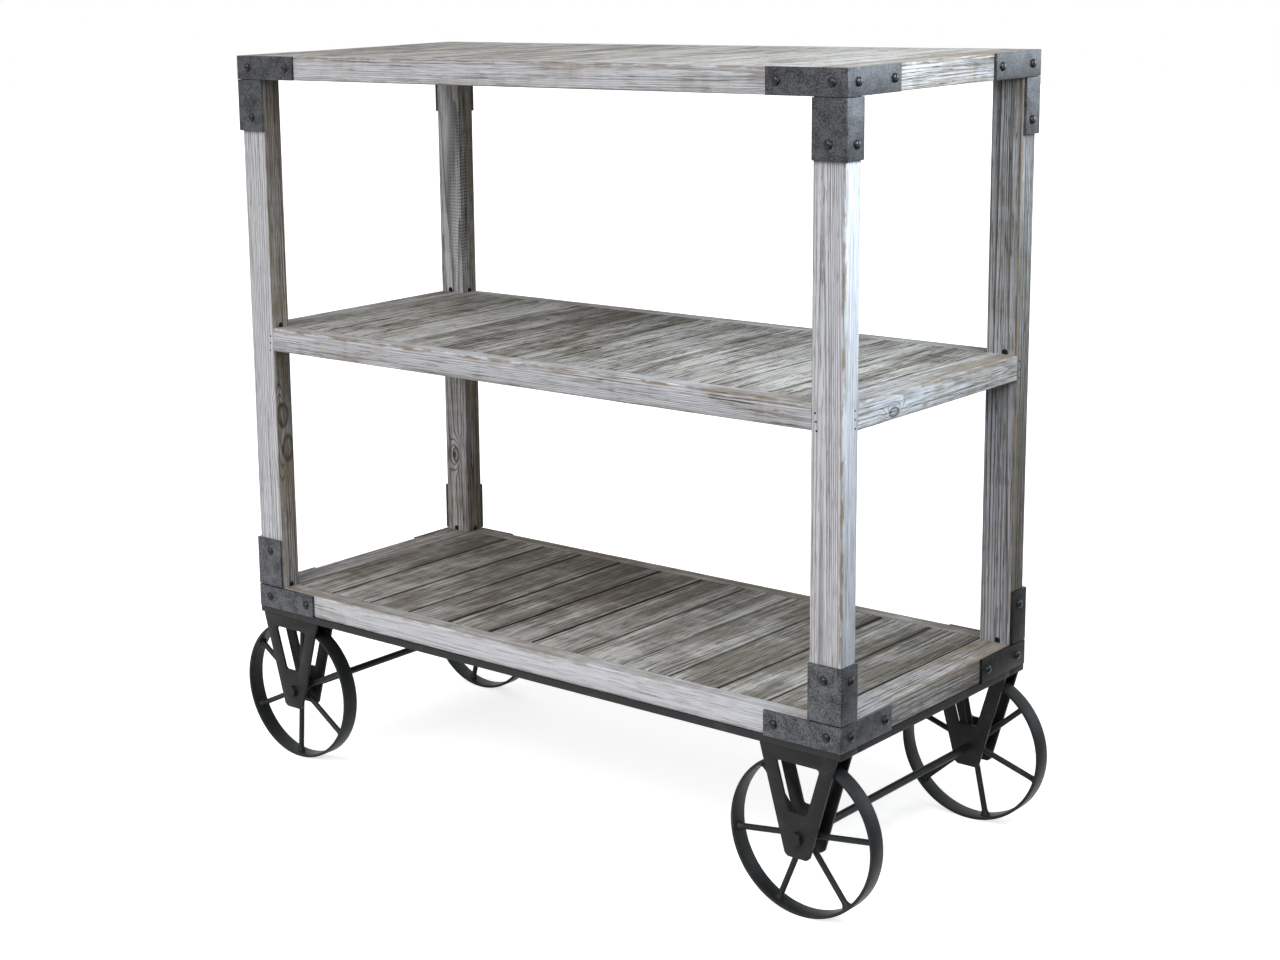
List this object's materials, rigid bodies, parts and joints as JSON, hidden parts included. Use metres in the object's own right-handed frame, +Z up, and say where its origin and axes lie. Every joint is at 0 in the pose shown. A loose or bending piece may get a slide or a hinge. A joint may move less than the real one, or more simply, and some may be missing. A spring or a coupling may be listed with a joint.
{
  "type": "serving cart",
  "caption": "Rolling serving cart with open whitewashed plank shelves on wooden posts, dark steel corner brackets and spoked metal wheels on through axles.",
  "frame": {"origin": "on the floor under the middle of the cart", "axes": "+X along the length towards the right end, +Y from the front to the back, +Z up"},
  "size_m": [1.063, 0.442, 1],
  "materials": {
    "rail_wood": "whitewashed, wire-brushed",
    "plank_wood": "grey-washed, wire-brushed",
    "bracket_steel": "mottled dark grey, satin",
    "bolt_black": "gloss black",
    "frame_steel": "charcoal, satin",
    "axle_steel": "charcoal, satin",
    "wheel_steel": "charcoal, satin"
  },
  "bodies": {
    "cart": {"post_front_left": "rail_wood", "post_front_right": "rail_wood", "post_back_left": "rail_wood", "post_back_right": "rail_wood", "top_front_rail": "rail_wood", "top_back_rail": "rail_wood", "top_left_rail": "rail_wood", "top_right_rail": "rail_wood", "middle_front_rail": "rail_wood", "middle_back_rail": "rail_wood", "middle_left_rail": "rail_wood", "middle_right_rail": "rail_wood", "bottom_front_rail": "rail_wood", "bottom_back_rail": "rail_wood", "bottom_left_rail": "rail_wood", "bottom_right_rail": "rail_wood", "top_planks": "plank_wood", "middle_planks": "plank_wood", "bottom_planks": "plank_wood", "top_bracket_front_left": "bracket_steel", "top_bracket_front_right": "bracket_steel", "top_bracket_back_left": "bracket_steel", "top_bracket_back_right": "bracket_steel", "bottom_bracket_front_left": "bracket_steel", "bottom_bracket_front_right": "bracket_steel", "bottom_bracket_back_left": "bracket_steel", "bottom_bracket_back_right": "bracket_steel", "top_bracket_bolts": "bolt_black", "bottom_bracket_bolts": "bolt_black", "frame_front_bar": "frame_steel", "frame_back_bar": "frame_steel", "frame_left_bar": "frame_steel", "frame_right_bar": "frame_steel", "fork_front_left": "frame_steel", "fork_front_right": "frame_steel", "fork_back_left": "frame_steel", "fork_back_right": "frame_steel", "left_axle": "axle_steel", "right_axle": "axle_steel", "axle_heads": "axle_steel"},
    "wheel_front_left": {"rim_front_left": "wheel_steel", "spokes_front_left": "wheel_steel", "hub_front_left": "wheel_steel"},
    "wheel_front_right": {"rim_front_right": "wheel_steel", "spokes_front_right": "wheel_steel", "hub_front_right": "wheel_steel"},
    "wheel_back_left": {"rim_back_left": "wheel_steel", "spokes_back_left": "wheel_steel", "hub_back_left": "wheel_steel"},
    "wheel_back_right": {"rim_back_right": "wheel_steel", "spokes_back_right": "wheel_steel", "hub_back_right": "wheel_steel"}
  },
  "joints": [
    {"name": "wheel_front_left_spin", "type": "hinge", "parent": "cart", "child": "wheel_front_left", "pos_m": [-0.4315, -0.196, 0.1], "axis": [0, 1, 0], "continuous": true},
    {"name": "wheel_front_right_spin", "type": "hinge", "parent": "cart", "child": "wheel_front_right", "pos_m": [0.4315, -0.196, 0.1], "axis": [0, 1, 0], "continuous": true},
    {"name": "wheel_back_left_spin", "type": "hinge", "parent": "cart", "child": "wheel_back_left", "pos_m": [-0.4315, 0.196, 0.1], "axis": [0, 1, 0], "continuous": true},
    {"name": "wheel_back_right_spin", "type": "hinge", "parent": "cart", "child": "wheel_back_right", "pos_m": [0.4315, 0.196, 0.1], "axis": [0, 1, 0], "continuous": true}
  ]
}
